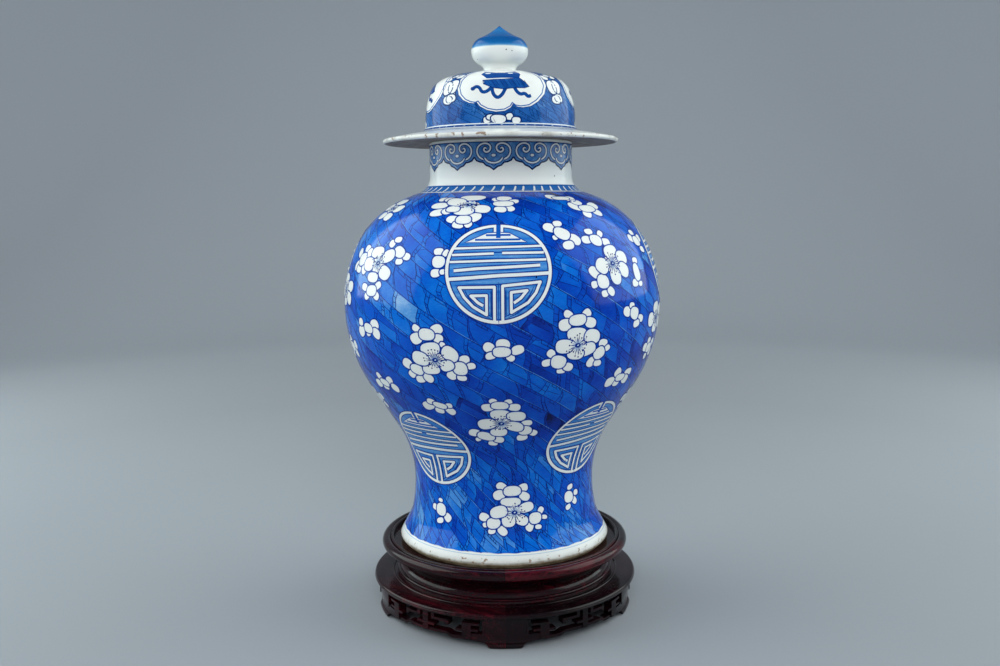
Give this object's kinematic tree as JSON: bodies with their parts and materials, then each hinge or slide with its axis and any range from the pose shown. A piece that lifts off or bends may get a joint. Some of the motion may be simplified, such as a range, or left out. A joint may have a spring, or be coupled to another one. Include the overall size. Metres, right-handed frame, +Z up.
{
  "type": "lidded porcelain jar on stand",
  "caption": "Blue and white baluster jar with domed, knobbed cover, on a round pierced hardwood stand with key-fret apron.",
  "frame": {"origin": "middle of the floor under the stand's five feet, on the axis of the jar", "axes": "+Z up along the axis of jar and stand; the front leg points along -Y, +X is to the right as seen from the front"},
  "size_m": [0.246, 0.246, 0.4533],
  "materials": {
    "porcelain_jar": "gloss glaze over cobalt painting",
    "porcelain_cover": "gloss glaze over cobalt painting",
    "porcelain_cover_knob": "gloss glaze over cobalt painting",
    "rosewood": "polished dark hardwood",
    "seat_rosewood": "polished dark hardwood, slightly duller",
    "joinery_wood": "plain unpolished hardwood"
  },
  "bodies": {
    "stand": {"seat_board": "seat_rosewood", "rim_segment_1": "rosewood", "rim_segment_2": "rosewood", "rim_segment_3": "rosewood", "rim_segment_4": "rosewood", "rim_segment_5": "rosewood", "waist_segment_1": "rosewood", "waist_segment_2": "rosewood", "waist_segment_3": "rosewood", "waist_segment_4": "rosewood", "waist_segment_5": "rosewood", "apron_segment_1": "rosewood", "apron_segment_2": "rosewood", "apron_segment_3": "rosewood", "apron_segment_4": "rosewood", "apron_segment_5": "rosewood", "rim_tenons": "joinery_wood", "waist_tenons": "joinery_wood", "apron_tenons": "joinery_wood", "stand_dowels": "joinery_wood"},
    "jar": {"jar": "porcelain_jar"},
    "cover": {"cover": "porcelain_cover", "cover_knob": "porcelain_cover_knob"}
  },
  "joints": [
    {"name": "jar_lift", "type": "slide", "parent": "stand", "child": "jar", "axis": [0, 0, 1], "range_m": [0, 0.12]},
    {"name": "cover_lift", "type": "slide", "parent": "jar", "child": "cover", "axis": [0, 0, 1], "range_m": [0, 0.2]}
  ]
}
